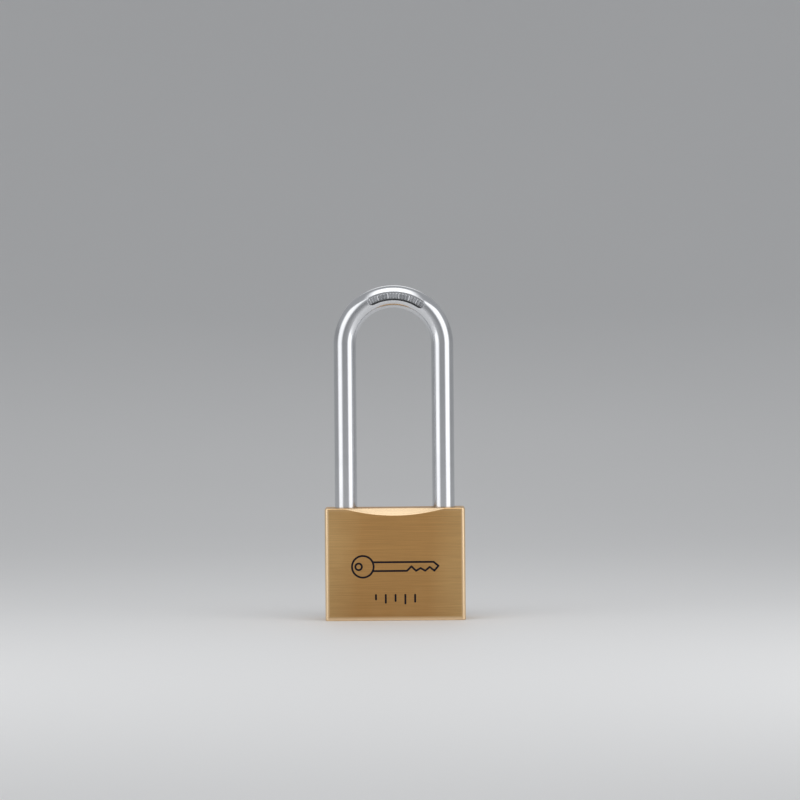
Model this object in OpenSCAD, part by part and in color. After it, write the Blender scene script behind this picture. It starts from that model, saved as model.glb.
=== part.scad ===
// Solid brass padlock with a long round steel shackle: five pin stacks, a turning plug and two
// spring latches that hold both legs of the shackle.
//
// Millimetres. Origin at the middle of the base, +X towards the short (toe) leg of the shackle,
// -Y is the engraved front and +Z is up. Everything is drawn at rest: the shackle is down and
// the plug is a quarter turn on from locked, so both latches are drawn back.

/* [Body] */
// Width of the body
body_w = 40; // [39.6:0.2:44]
// Thickness of the body, front to back
body_t = 14.5; // [14:0.5:18]
// Height of the body
body_h = 32; // [32:0.5:38]
// Radius of the four upright edges
edge_r = 1; // [0.6:0.1:1.6]
// Chamfer round the top and the base
rim_chamfer = 0.3; // [0.1:0.1:0.5]
// Length of the scooped cut along each long top edge
scoop_w = 29.4; // [24:0.2:32]
// Depth of the scooped cut at its middle, measured down the face
scoop_d = 2.1; // [1:0.1:2.6]
// Depth of the engraving on the front
engrave_d = 0.25; // [0.1:0.05:0.5]

/* [Shackle] */
// Diameter of the shackle wire
wire_d = 6.4; // [6:0.1:6.5]
// Distance between the axes of the two legs
leg_gap = 28; // [27.6:0.1:28.4]
// Clear height between the body and the arch
clear_h = 57.4; // [24:0.2:80]
// How far the shackle rises when it is let go
lift = 12; // [10:0.5:12]
// Width of the flat pressed into the front of the arch
panel_w = 2.7; // [2:0.1:3]
// Arc of that flat, in degrees
panel_arc = 68; // [40:2:90]
// How far round the flat is struck off centre, towards the toe leg, in degrees
panel_turn = 4; // [0:1:8]

/* [Cylinder] */
// Radius of the plug that the key turns
plug_r = 5; // [4.8:0.05:5.1]
// Distance between neighbouring pin stacks
pin_pitch = 2.9; // [2.7:0.05:2.9]
// Radius of the key pins and driver pins
pin_r = 1.1; // [0.9:0.05:1.1]
// Radial clearance of everything that turns or slides
fit = 0.05; // [0.02:0.01:0.08]

/* [Latches] */
// Radius of the round bar that the latches are cut from
latch_r = 3; // [2.9:0.05:3]
// Distance each latch moves between open and locked
latch_throw = 1.5; // [1.4:0.05:1.5]

/* [Hidden] */
$fn = 64;
over = 1; // how far a cutter runs past the face that it cuts

// Body
half_w = body_w / 2;
half_t = body_t / 2;
scoop_cut = scoop_d / sqrt(2);
scoop_r = (pow(scoop_w / 2, 2) + pow(scoop_cut, 2)) / (2 * scoop_cut);
hole_mouth = 0.3; // countersink round each leg hole
scoop_reach = 12;

// Engraving: a key drawn in line above a row of five bars, each as long as its key pin
emblem_line = 0.55;
emblem_w = 25.2;
emblem_z = 15.4;
bow_r = 3.35;
bow_hole_r = 1.2;
blade = [
    [-6.2, 1.25], [10.9, 1.25], [12.3, 0.1], [11.1, -1.25], [9.8, -0.2], [8.5, -1.25],
    [7.2, -0.5], [5.9, -1.25], [4.6, 0], [3.3, -1.25], [-6.2, -1.25]];
bar_row_z = 6.1;
bar_row_w = 11.7;
bar_row_h = 3;
bar_shortest = 0.6; // share of the row's height

// Shackle: the heel leg stands at -X and the toe leg at +X
leg_r = wire_d / 2;
leg_x = leg_gap / 2;
hole_r = leg_r + 0.1;
arch_r = leg_gap / 2;
arch_z = body_h + clear_h - (arch_r - leg_r);
toe_z = body_h - 11.5;
toe_hole_z = toe_z - 1;
heel_z = 7;
heel_hole_z = 2.5;
heel_head = 1.6;
neck_r = 1.6;
leg_end_chamfer = 0.5;
heel_spring_r = 2.4;
heel_spring_wire = 0.55;
heel_spring_turns = 5;
panel_wall = 0.1; // depth of the panel's floor below its long edges
panel_d = leg_r - sqrt(pow(leg_r, 2) - pow(panel_w / 2, 2)) + panel_wall;
rib_count = 19;
rib_size = [0.3, 1.5, 0.25];
rib_margin = 4; // arc left plain at the two ends together

// Latches: level with the notches in both legs
latch_z = body_h - 7;
latch_half_h = 1.8;
latch_tip = leg_x - leg_r - 0.2;
notch_half_h = latch_half_h + 0.2;
notch_x = latch_tip + latch_throw + 0.2;
channel_r = latch_r + fit;
arm_end = 1.7;
lap_gap = 0.05;
spring_seat = 4.2;
spring_pocket_w = 2;
nose_bevel = 1.2;
latch_spring_r = 0.75;
latch_spring_wire = 0.3;
latch_spring_turns = 8;

// The neck of the heel leg reaches as high as the latch does when the shackle is up
neck_z = heel_z + heel_head;
neck_top = latch_z + notch_half_h + 0.2 - lift;
stop_pin_r = 0.8;
stop_pin_in = -4.5;
stop_z = neck_z + lift + stop_pin_r + 0.05;
stop_x = leg_x + neck_r + stop_pin_r + 0.4;
stop_flat_x = stop_x - stop_pin_r - 0.3;
stop_flat_top = stop_z + stop_pin_r + 0.6;

// Plug and cam
face_inset = 0.15;
face_chamfer = 0.3;
keyway = [
    [-0.95, -4.2], [0.75, -4.2], [0.75, -2.9], [0.1, -2.4], [0.1, -1.2], [0.95, -0.6],
    [0.95, 0.7], [0.35, 1.2], [0.35, 2.3], [0.85, 2.7], [0.85, 3.3], [-0.85, 3.3],
    [-0.85, 1.6], [-0.35, 1.1], [-0.35, 0.1], [-0.95, -0.5]];
plug_top = body_h - 12;
cam_t = 1.2;
cam_r = plug_r - 0.4;
cam_tongue = [1.5, 8, 0.9];
cam_slot_gap = 0.1;
bore_r = plug_r + fit;
bore_top = plug_top + cam_t + 0.2;
lug_r = 0.6;
lug_top = latch_z - latch_half_h + 1;
lug_slot_top = lug_top + 0.2;
throat_r = latch_throw + lug_r + 0.5;
// The lug follows a sine and the latch a straight line, so the slot has this much spare width
lug_lead = 0.32 * latch_throw / 1.5;
groove_z = plug_top - 2.2;
core_pin_r = 0.75;
core_pin_in = -3;
groove_r = plug_r - 0.6;
core_pin_x = groove_r + core_pin_r + fit;

// Pin stacks, lowest first. A key pin's travel is how far it can drop when no key holds it.
first_pin_z = 3.2;
key_pin_travel = [2.4, 1.2, 1.8, 0.9, 1.5];
chamber_r = pin_r + fit;
chamber_floor = -1.3;
key_pin_end = plug_r - 0.15;
key_pin_point = 0.6;
driver_lip = 0.25;
pin_spring_r = pin_r - 0.25;
pin_spring_wire = 0.26;
pin_spring_turns = 7;
driver_in = plug_r + 0.1;
driver_len = 4;
filler_len = 4;
filler_in = half_w - filler_len;
spring_gap = 0.05;

function stack_z(i) = first_pin_z + (i - 1) * pin_pitch;

// Points round one cross-section of a coil of wire that climbs about Z
function coil_ring(r, wire_r, turn, z, sides) = [
    for (k = [0 : sides - 1])
        let (b = 360 * k / sides, reach = r + wire_r * cos(b))
            [reach * cos(360 * turn), reach * sin(360 * turn), z + wire_r * sin(b)]];

// Height of the wire's centre after a number of turns: one close turn at each end
function coil_z(turn, turns, len, wire) =
    let (close = 1.2 * wire, rise = (len - wire - 2 * close) / (turns - 2))
        wire / 2 + min(turn, 1) * close + max(0, min(turn, turns - 1) - 1) * rise
        + max(0, turn - turns + 1) * close;

// A compression spring of the given length, standing on z = 0
module coil_spring(r, wire, turns, len, steps, sides) {
    n = turns * steps;
    points = [for (i = [0 : n])
        each coil_ring(r, wire / 2, i / steps, coil_z(i / steps, turns, len, wire), sides)];
    walls = [for (i = [0 : n - 1], k = [0 : sides - 1])
        let (a = i * sides + k, b = i * sides + (k + 1) % sides)
            each [[a, a + sides, b + sides], [a, b + sides, b]]];
    ends = [[for (k = [0 : sides - 1]) k], [for (k = [sides - 1 : -1 : 0]) n * sides + k]];
    polyhedron(points, concat(walls, ends));
}

// A cylinder that lies along +X from x0 to x1
module bar_x(r, x0, x1) {
    translate([x0, 0, 0]) rotate([0, 90, 0]) cylinder(r = r, h = x1 - x0);
}

// A cylinder that lies along +Y from y0 to y1
module bar_y(r, y0, y1) {
    translate([0, y1, 0]) rotate([90, 0, 0]) cylinder(r = r, h = y1 - y0);
}

// A rectangle with its four corners cut at 45 degrees
module chamfered_rectangle(w, h, c) {
    polygon([
        [-w / 2 + c, 0], [w / 2 - c, 0], [w / 2, c], [w / 2, h - c],
        [w / 2 - c, h], [-w / 2 + c, h], [-w / 2, h - c], [-w / 2, c]]);
}

// A drawn line with round ends
module stroke(a, b, w) {
    d = b - a;
    for (p = [a, b]) translate(p) circle(d = w);
    translate(a) rotate(atan2(d[1], d[0])) translate([0, -w / 2]) square([norm(d), w]);
}

// ---------------------------------------------------------------- body

// Brass block with rounded upright edges and a small chamfer round the top and the base
module body_blank() {
    intersection() {
        linear_extrude(body_h) {
            square([body_w - 2 * edge_r, body_t], center = true);
            square([body_w, body_t - 2 * edge_r], center = true);
            for (x = [-1, 1], y = [-1, 1])
                translate([x * (half_w - edge_r), y * (half_t - edge_r)]) circle(r = edge_r);
        }
        translate([0, half_t, 0]) rotate([90, 0, 0])
            linear_extrude(body_t) chamfered_rectangle(body_w, body_h, rim_chamfer);
        translate([-half_w, 0, 0]) rotate([90, 0, 90])
            linear_extrude(body_w) chamfered_rectangle(body_t, body_h, rim_chamfer);
    }
}

// Large cutter whose axis leans 45 degrees: it scoops the middle of the top front edge
module scoop_cutter() {
    translate([0, -half_t, body_h]) rotate([-45, 0, 0])
        translate([0, scoop_cut - scoop_r, -scoop_reach / 2])
            cylinder(r = scoop_r, h = scoop_reach, $fn = 360);
}

module ring(r) {
    difference() {
        circle(r = r);
        circle(r = r - emblem_line);
    }
}

module emblem() {
    translate([bow_r - emblem_w / 2, 0]) ring(bow_r);
    translate([bow_r - bow_hole_r - emblem_w / 2, 0]) ring(bow_hole_r);
    for (i = [1 : len(blade) - 1]) stroke(blade[i - 1], blade[i], emblem_line);
}

// Length of a bar as a share of the row's height: the pin that travels least is the longest
function bar_share(i) =
    let (least = min(key_pin_travel), most = max(key_pin_travel))
        1 - (1 - bar_shortest) * (key_pin_travel[i - 1] - least) / (most - least);

module bar_row() {
    for (i = [1 : 5]) {
        x = (i - 3) * (bar_row_w - emblem_line) / 4;
        top = (bar_row_h - emblem_line) / 2;
        stroke([x, top - (bar_share(i) * bar_row_h - emblem_line)], [x, top], emblem_line);
    }
}

module engraving() {
    translate([0, engrave_d - half_t, 0]) rotate([90, 0, 0]) linear_extrude(engrave_d + over) {
        translate([0, emblem_z]) emblem();
        translate([0, bar_row_z]) bar_row();
    }
}

module leg_hole(x, floor_z) {
    translate([x, 0, floor_z]) cylinder(r = hole_r, h = body_h - floor_z + over);
    translate([x, 0, body_h - hole_mouth])
        cylinder(r1 = hole_r, r2 = hole_r + 2 * hole_mouth, h = 2 * hole_mouth);
}

module lock_body() {
    color([0.72, 0.56, 0.30]) difference() {
        body_blank();
        scoop_cutter();
        mirror([0, 1, 0]) scoop_cutter();
        engraving();
        leg_hole(leg_x, toe_hole_z);
        leg_hole(-leg_x, heel_hole_z);
        translate([0, 0, -over]) cylinder(r = bore_r, h = bore_top + over);
        cylinder(r = throat_r, h = latch_z);
        translate([0, 0, latch_z]) bar_x(channel_r, -leg_x, half_w + over);
        for (i = [1 : 5])
            translate([0, 0, stack_z(i)]) bar_x(chamber_r, plug_r - over, half_w + over);
        translate([-stop_x, 0, stop_z]) bar_y(stop_pin_r, stop_pin_in, half_t + over);
        translate([-core_pin_x, 0, groove_z]) bar_y(core_pin_r, core_pin_in, half_t + over);
    }
}

// ---------------------------------------------------------------- shackle

// The flat pressed into the front of the arch, less the row of short ribs left standing on it
module arch_panel() {
    rib_arc = panel_arc - rib_margin;
    translate([0, panel_d - leg_r, arch_z]) rotate([90, 0, 0]) rotate(-panel_turn) difference() {
        rotate([0, 0, 90 - panel_arc / 2])
            rotate_extrude(angle = panel_arc, $fn = 128)
                translate([arch_r - panel_w / 2, 0]) square([panel_w, panel_d + over]);
        for (i = [0 : rib_count - 1]) rotate(rib_arc * (i / (rib_count - 1) - 0.5))
            translate([-rib_size[0] / 2, arch_r - rib_size[1] / 2, -over])
                cube([rib_size[0], rib_size[1], rib_size[2] + over]);
    }
}

module leg(x, z0) {
    end = leg_end_chamfer;
    translate([x, 0, z0]) cylinder(r1 = leg_r - end, r2 = leg_r, h = end);
    translate([x, 0, z0 + end]) cylinder(r = leg_r, h = arch_z - z0 - end);
}

// Notch in the inner side of a leg, level with its latch
module notch(side) {
    translate([side * notch_x - (side > 0 ? 2 * leg_r : 0), -2 * leg_r, latch_z - notch_half_h])
        cube([2 * leg_r, 4 * leg_r, 2 * notch_half_h]);
}

module shackle() {
    color([0.80, 0.81, 0.83]) difference() {
        union() {
            translate([0, 0, arch_z]) rotate([90, 0, 0])
                rotate_extrude(angle = 180, $fn = 128) translate([arch_r, 0]) circle(r = leg_r);
            leg(leg_x, toe_z);
            leg(-leg_x, heel_z);
        }
        arch_panel();
        for (side = [-1, 1]) notch(side);
        translate([-leg_x, 0, neck_z]) difference() {
            cylinder(r = 2 * leg_r, h = neck_top - neck_z);
            cylinder(r = neck_r, h = neck_top - neck_z);
        }
        translate([-stop_flat_x - 2 * leg_r, -2 * leg_r, neck_top - over])
            cube([2 * leg_r, 4 * leg_r, stop_flat_top - neck_top + over]);
    }
}

// Sits under the heel and throws the shackle up
module shackle_spring() {
    len = heel_z - heel_hole_z - 2 * spring_gap;
    color("silver") translate([-leg_x, 0, heel_hole_z + spring_gap])
        coil_spring(heel_spring_r, heel_spring_wire, heel_spring_turns, len, 16, 6);
}

// Stops the shackle at the top of its travel: the head under its neck meets this pin
module shackle_stop_pin() {
    color("goldenrod") translate([-stop_x, 0, stop_z]) bar_y(stop_pin_r, stop_pin_in, half_t);
}

// ---------------------------------------------------------------- plug and cam

module plug() {
    color([0.78, 0.64, 0.38]) difference() {
        union() {
            translate([0, 0, face_inset])
                cylinder(r1 = plug_r - face_chamfer, r2 = plug_r, h = face_chamfer);
            translate([0, 0, face_inset + face_chamfer])
                cylinder(r = plug_r, h = plug_top - face_inset - face_chamfer);
        }
        linear_extrude(stack_z(5) + pin_r + 0.6) polygon(keyway);
        for (i = [1 : 5])
            translate([0, 0, stack_z(i)]) bar_y(chamber_r, chamber_floor, plug_r + over);
        translate([0, 0, groove_z - core_pin_r - 0.1]) difference() {
            cylinder(r = plug_r + over, h = 2 * core_pin_r + 0.2);
            cylinder(r = groove_r, h = 2 * core_pin_r + 0.2);
        }
        translate([-cam_tongue[0] / 2 - fit, -plug_r - over, plug_top - cam_tongue[2] - cam_slot_gap])
            cube([cam_tongue[0] + 2 * fit, 2 * (plug_r + over), cam_tongue[2] + cam_slot_gap + over]);
    }
}

// Disc on the end of the plug: its tongue sits in the plug's slot, its two lugs move the latches
module plug_cam() {
    color([0.62, 0.62, 0.60]) {
        translate([0, 0, plug_top]) cylinder(r = cam_r, h = cam_t);
        translate([-cam_tongue[0] / 2, -cam_tongue[1] / 2, plug_top - cam_tongue[2]])
            cube(cam_tongue);
        for (y = [-1, 1])
            translate([0, y * latch_throw, plug_top + cam_t])
                cylinder(r = lug_r, h = lug_top - plug_top - cam_t);
    }
}

// Crosses the edge of the plug's groove, so that the plug turns but can't come out
module plug_retaining_pin() {
    color("goldenrod") translate([-core_pin_x, 0, groove_z]) bar_y(core_pin_r, core_pin_in, half_t);
}

// ---------------------------------------------------------------- latches

// The latch for the toe leg; the heel's is the same piece turned half round
module latch() {
    top = latch_half_h;
    translate([0, 0, latch_z]) difference() {
        intersection() {
            bar_x(latch_r, -arm_end, latch_tip);
            translate([-arm_end, -latch_r, -top]) cube([latch_tip + arm_end, 2 * latch_r, 2 * top]);
        }
        // half lap, so that the two arms pass each other
        translate([-arm_end - over, -2 * latch_r, -2 * top])
            cube([2 * arm_end + 0.3 + over, 2 * latch_r + lap_gap, 4 * top]);
        // pocket for the spring, open at the top
        translate([-arm_end - over, -spring_pocket_w / 2, 0])
            cube([spring_seat + arm_end + over, spring_pocket_w, 2 * top]);
        // slot for the cam's lug
        translate([-lug_r - 0.1, -over, -2 * top])
            cube([2 * lug_r + lug_lead + 0.2, latch_throw + lug_r + 0.1 + over,
                lug_slot_top - latch_z + 2 * top]);
        // sloping nose, which the shackle pushes aside as it is closed
        translate([latch_tip - nose_bevel, -2 * latch_r, top]) rotate([0, 45, 0])
            cube([2 * nose_bevel, 4 * latch_r, 2 * nose_bevel]);
    }
}

module latch_toe() {
    color("silver") latch();
}

module latch_heel() {
    color("silver") rotate([0, 0, 180]) latch();
}

// Pushes the two latches apart
module latch_spring() {
    len = 2 * (spring_seat - spring_gap);
    color("silver") translate([-len / 2, 0, latch_z + latch_spring_r + latch_spring_wire / 2 + 0.1])
        rotate([0, 90, 0])
            coil_spring(latch_spring_r, latch_spring_wire, latch_spring_turns, len, 10, 5);
}

// Closes the hole that the latch channel was drilled through
module latch_channel_filler() {
    color("goldenrod") translate([0, 0, latch_z])
        bar_x(channel_r, leg_x + hole_r + 0.1, half_w);
}

// ---------------------------------------------------------------- pin stacks

// Stands in the plug with its flat end at the shear line and its point towards the key
module key_pin(i) {
    point = key_pin_point;
    tip = chamber_floor + 0.05 + key_pin_travel[i - 1];
    color("goldenrod") translate([0, tip, stack_z(i)]) rotate([-90, 0, 0]) {
        cylinder(r1 = pin_r - point, r2 = pin_r, h = point);
        translate([0, 0, point]) cylinder(r = pin_r, h = key_pin_end - tip - point);
    }
}

// Waits in the body, outside the shear line, until the plug comes round to it
module driver_pin(i) {
    lip = driver_lip;
    color("silver") translate([driver_in, 0, stack_z(i)]) rotate([0, 90, 0]) {
        cylinder(r1 = pin_r - lip, r2 = pin_r, h = lip);
        translate([0, 0, lip]) cylinder(r = pin_r, h = driver_len - lip);
    }
}

module pin_spring(i) {
    start = driver_in + driver_len + spring_gap;
    color("silver") translate([start, 0, stack_z(i)]) rotate([0, 90, 0])
        coil_spring(pin_spring_r, pin_spring_wire, pin_spring_turns,
            filler_in - start - spring_gap, 8, 5);
}

// Brass plugs that close the five pin chambers, filed flush with the side
module pin_chamber_fillers() {
    color("goldenrod")
        for (i = [1 : 5]) translate([0, 0, stack_z(i)]) bar_x(chamber_r, filler_in, half_w);
}

lock_body();
shackle();
plug();
plug_cam();
plug_retaining_pin();
shackle_stop_pin();
latch_toe();
latch_heel();
latch_spring();
latch_channel_filler();
shackle_spring();
pin_chamber_fillers();
key_pin(1);  // key_pin_1
key_pin(2);  // key_pin_2
key_pin(3);  // key_pin_3
key_pin(4);  // key_pin_4
key_pin(5);  // key_pin_5
driver_pin(1);  // driver_pin_1
driver_pin(2);  // driver_pin_2
driver_pin(3);  // driver_pin_3
driver_pin(4);  // driver_pin_4
driver_pin(5);  // driver_pin_5
pin_spring(1);  // pin_spring_1
pin_spring(2);  // pin_spring_2
pin_spring(3);  // pin_spring_3
pin_spring(4);  // pin_spring_4
pin_spring(5);  // pin_spring_5
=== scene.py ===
"""Brass padlock with a long chromed shackle: the looks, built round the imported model.

Laid out as an add-on: each piece, or group of like pieces, has an operator that models it and
gives it its finish, and the panel in the sidebar lists them. Lengths are metres.
"""

import math

import bmesh
import bpy
from bpy.props import FloatProperty, FloatVectorProperty, IntProperty, PointerProperty
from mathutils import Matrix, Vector


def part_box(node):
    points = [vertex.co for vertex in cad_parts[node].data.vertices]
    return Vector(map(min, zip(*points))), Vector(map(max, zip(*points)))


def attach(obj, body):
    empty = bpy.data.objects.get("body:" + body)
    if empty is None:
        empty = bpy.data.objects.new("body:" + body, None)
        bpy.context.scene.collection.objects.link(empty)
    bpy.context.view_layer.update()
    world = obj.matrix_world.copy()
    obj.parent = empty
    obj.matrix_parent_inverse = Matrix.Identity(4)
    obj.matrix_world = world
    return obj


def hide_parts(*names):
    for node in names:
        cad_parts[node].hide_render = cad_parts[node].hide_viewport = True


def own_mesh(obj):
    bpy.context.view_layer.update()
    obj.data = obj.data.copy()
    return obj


bl_info = {
    "name": "Brass padlock",
    "version": (1, 0, 0),
    "blender": (4, 5, 0),
    "location": "3D View > Sidebar > Padlock",
    "description": "Models and finishes a brass padlock with a long shackle",
    "category": "Object",
}

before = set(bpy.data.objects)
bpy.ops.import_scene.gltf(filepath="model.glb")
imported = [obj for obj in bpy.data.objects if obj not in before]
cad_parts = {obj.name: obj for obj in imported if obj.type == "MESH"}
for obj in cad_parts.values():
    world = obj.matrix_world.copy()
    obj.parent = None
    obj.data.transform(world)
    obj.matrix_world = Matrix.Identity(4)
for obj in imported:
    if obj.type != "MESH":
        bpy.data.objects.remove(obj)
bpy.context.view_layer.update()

MM = 0.001
BODY_LOW, BODY_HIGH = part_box("lock_body")
SHACKLE_LOW, SHACKLE_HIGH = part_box("shackle")
HALF_W, HALF_T, BODY_H = BODY_HIGH.x, BODY_HIGH.y, BODY_HIGH.z
LEG_R = SHACKLE_HIGH.y
LEG_X = SHACKLE_HIGH.x - LEG_R
ARCH_Z = SHACKLE_HIGH.z - LEG_R - LEG_X


# ------------------------------------------------------------------ sizes and colours


class PadlockBodySizes(bpy.types.PropertyGroup):
    edge_radius: FloatProperty(
        name="Edge radius", description="Rounding of the upright edges",
        default=1.0 * MM, min=0.1 * MM, max=3 * MM, unit="LENGTH")
    rim_radius: FloatProperty(
        name="Rim radius", description="Rounding round the top and the base",
        default=0.35 * MM, min=0.05 * MM, max=1 * MM, unit="LENGTH")
    scoop_width: FloatProperty(
        name="Scoop width", description="Length of the scooped cut along a top edge",
        default=29.4 * MM, min=10 * MM, max=36 * MM, unit="LENGTH")
    scoop_depth: FloatProperty(
        name="Scoop depth", description="Depth of the scooped cut at its middle",
        default=2.1 * MM, min=0.5 * MM, max=4 * MM, unit="LENGTH")
    engraving_depth: FloatProperty(
        name="Engraving depth", description="How deep the drawn key is cut",
        default=0.25 * MM, min=0.05 * MM, max=1 * MM, unit="LENGTH")
    engraving_line: FloatProperty(
        name="Engraving line", description="Width of the engraved lines",
        default=0.55 * MM, min=0.2 * MM, max=1 * MM, unit="LENGTH")
    brass: FloatVectorProperty(
        name="Brass", description="Colour of the brushed faces",
        default=(0.605, 0.334, 0.121), min=0, max=1, subtype="COLOR")
    # Painted light: with this colour the front is made paler towards its left and right sides, in place
    # of the side lamps' light.
    painted_side_light_brass: FloatVectorProperty(
        name="Pale brass", description="Colour of the brass near the upright edges",
        default=(0.73, 0.472, 0.207), min=0, max=1, subtype="COLOR")
    # Painted highlight: this paler colour stands in for the light that the scoops catch from the lamp
    # above; brightened, it also paints the edges' highlight, which is partly wear.
    milled_brass: FloatVectorProperty(
        name="Milled brass", description="Colour of the scooped cuts and of worn edges",
        default=(0.73, 0.55, 0.35), min=0, max=1, subtype="COLOR")
    paint: FloatVectorProperty(
        name="Filling", description="Colour of the paint in the engraving",
        default=(0.004, 0.004, 0.012), min=0, max=1, subtype="COLOR")


class PadlockShackleSizes(bpy.types.PropertyGroup):
    panel_width: FloatProperty(
        name="Panel width", description="Width of the flat pressed into the arch",
        default=2.7 * MM, min=1 * MM, max=4 * MM, unit="LENGTH")
    panel_arc: FloatProperty(
        name="Panel arc", description="Arc that the pressed flat covers",
        default=math.radians(70), min=math.radians(10), max=math.radians(120), unit="ROTATION")
    panel_turn: FloatProperty(
        name="Panel turn", description="How far round the flat is struck off centre",
        default=math.radians(4), min=0, max=math.radians(8), unit="ROTATION")
    panel_depth: FloatProperty(
        name="Panel depth", description="How deep the panel's floor lies below its edges",
        default=0.1 * MM, min=0.02 * MM, max=0.5 * MM, unit="LENGTH")
    ribs: IntProperty(
        name="Ribs", description="Number of short ribs standing on the panel",
        default=19, min=3, max=40)
    chrome: FloatVectorProperty(
        name="Chrome", description="Colour of the plating",
        default=(0.74, 0.75, 0.77), min=0, max=1, subtype="COLOR")


class PadlockInsideSizes(bpy.types.PropertyGroup):
    turned_brass: FloatVectorProperty(
        name="Turned brass", description="Colour of the plug, pins and fillers",
        default=(0.76, 0.50, 0.22), min=0, max=1, subtype="COLOR")
    steel: FloatVectorProperty(
        name="Steel", description="Colour of the latches, cam and springs",
        default=(0.56, 0.56, 0.57), min=0, max=1, subtype="COLOR")


class PadlockStageSizes(bpy.types.PropertyGroup):
    floor: FloatVectorProperty(
        name="Floor", description="Colour of the floor and the cove",
        default=(0.80, 0.80, 0.80), min=0, max=1, subtype="COLOR")
    distance: FloatProperty(
        name="Camera distance", description="From the camera to the padlock",
        default=0.8, min=0.2, max=5, unit="LENGTH")
    aside: FloatProperty(
        name="Camera aside", description="From the camera to the padlock's middle plane",
        default=1.75 * MM, unit="LENGTH")
    eye_height: FloatProperty(
        name="Camera height", description="Height of the camera above the floor",
        default=62.8 * MM, min=0, unit="LENGTH")
    lens: FloatProperty(
        name="Lens", description="Focal length, in millimetres",
        default=125.3, min=20, max=400)
    roll: FloatProperty(
        name="Roll", description="Turn of the camera about its own axis",
        default=math.radians(0.5), unit="ROTATION")


# ------------------------------------------------------------------ modelling helpers


def alone(*pieces):
    """Selects these pieces only, the first of them active."""
    if bpy.context.mode != "OBJECT":
        bpy.ops.object.mode_set(mode="OBJECT")
    bpy.ops.object.select_all(action="DESELECT")
    for piece in pieces:
        piece.select_set(True)
    bpy.context.view_layer.objects.active = pieces[0]


def place_applied(name):
    """Names the new primitive and moves its place into its mesh."""
    piece = bpy.context.object
    piece.name = piece.data.name = name
    bpy.ops.object.transform_apply(location=True, rotation=True, scale=True)
    return piece


def block(name, low, high):
    bpy.ops.object.select_all(action="DESELECT")
    low, high = Vector(low), Vector(high)
    bpy.ops.mesh.primitive_cube_add(size=1, location=(low + high) / 2, scale=high - low)
    return place_applied(name)


TURNS = {"X": (0, math.pi / 2, 0), "Y": (-math.pi / 2, 0, 0), "Z": (0, 0, 0)}


def heading(axis):
    return Vector((axis == "X", axis == "Y", axis == "Z"))


def rod(name, axis, foot, length, radius, segments=64, top_radius=None):
    """A cylinder or cone that runs from foot for length along the named axis."""
    bpy.ops.object.select_all(action="DESELECT")
    bpy.ops.mesh.primitive_cone_add(
        vertices=segments, radius1=radius, depth=length, rotation=TURNS[axis],
        radius2=radius if top_radius is None else top_radius,
        location=Vector(foot) + heading(axis) * length / 2)
    return place_applied(name)


def countersink(axis, place, radius, size, segments):
    """A cone that opens the mouth of a hole by size all round; place is on the surface."""
    return rod("mouth", axis, Vector(place) - heading(axis) * size, 2 * size, radius, segments,
               top_radius=radius + 2 * size)


def plate(name, outline, thickness, place):
    """An outline filled and extruded; place turns its flat points into points in space."""
    bpy.ops.object.select_all(action="DESELECT")
    bpy.ops.mesh.primitive_circle_add(vertices=len(outline), fill_type="NGON")
    piece = place_applied(name)
    for vertex, point in zip(piece.data.vertices, outline):
        vertex.co = place(*point)
    bpy.ops.object.mode_set(mode="EDIT")
    bpy.ops.mesh.select_all(action="SELECT")
    bpy.ops.mesh.extrude_region_move(TRANSFORM_OT_translate={"value": thickness})
    bpy.ops.mesh.select_all(action="SELECT")
    bpy.ops.mesh.normals_make_consistent(inside=False)
    bpy.ops.object.mode_set(mode="OBJECT")
    return piece


def select_edges(piece, test):
    """Enters edit mode with only the edges for which test(edge) holds selected."""
    alone(piece)
    bpy.ops.object.mode_set(mode="EDIT")
    bpy.ops.mesh.select_mode(type="EDGE")
    bpy.ops.mesh.select_all(action="DESELECT")
    shape = bmesh.from_edit_mesh(piece.data)
    for edge in shape.edges:
        edge.select = test(edge)
    shape.select_flush_mode()
    bmesh.update_edit_mesh(piece.data)


def bevel_edges(piece, test, width, segments):
    select_edges(piece, test)
    bpy.ops.mesh.bevel(offset=width, segments=segments, affect="EDGES", clamp_overlap=False)
    bpy.ops.object.mode_set(mode="OBJECT")


def middle(edge):
    return (edge.verts[0].co + edge.verts[1].co) / 2


def along(edge):
    return (edge.verts[1].co - edge.verts[0].co).normalized()


def bend_of(edge):
    """Angle between the two faces at an edge; 0 on an open edge."""
    return edge.calc_face_angle(0)


def cut(piece, *cutters, inside=None):
    """Takes the cutters out of the piece; the cut faces take the material called inside."""
    for cutter in cutters:
        cutter.data.materials.clear()
        if inside:
            cutter.data.materials.append(inside)
        alone(piece)
        step = piece.modifiers.new("Cut", "BOOLEAN")
        step.operation = "DIFFERENCE"
        step.solver = "EXACT"
        step.material_mode = "TRANSFER"
        step.object = cutter
        bpy.ops.object.modifier_apply(modifier=step.name)
        bpy.data.objects.remove(cutter)


def smooth(piece, angle=30):
    """Smooth shading, with flat faces kept flat by weighted normals."""
    alone(piece)
    bpy.ops.object.shade_smooth_by_angle(angle=math.radians(angle))
    step = piece.modifiers.new("Weighted normals", "WEIGHTED_NORMAL")
    step.keep_sharp = True
    step.weight = 100
    bpy.ops.object.modifier_apply(modifier=step.name)


def tidy_mesh(piece):
    """Merges doubled points and turns every face outwards."""
    alone(piece)
    bpy.ops.object.mode_set(mode="EDIT")
    bpy.ops.mesh.select_all(action="SELECT")
    bpy.ops.mesh.remove_doubles(threshold=1e-7)
    bpy.ops.mesh.normals_make_consistent(inside=False)
    bpy.ops.object.mode_set(mode="OBJECT")


# ------------------------------------------------------------------ materials


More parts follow.
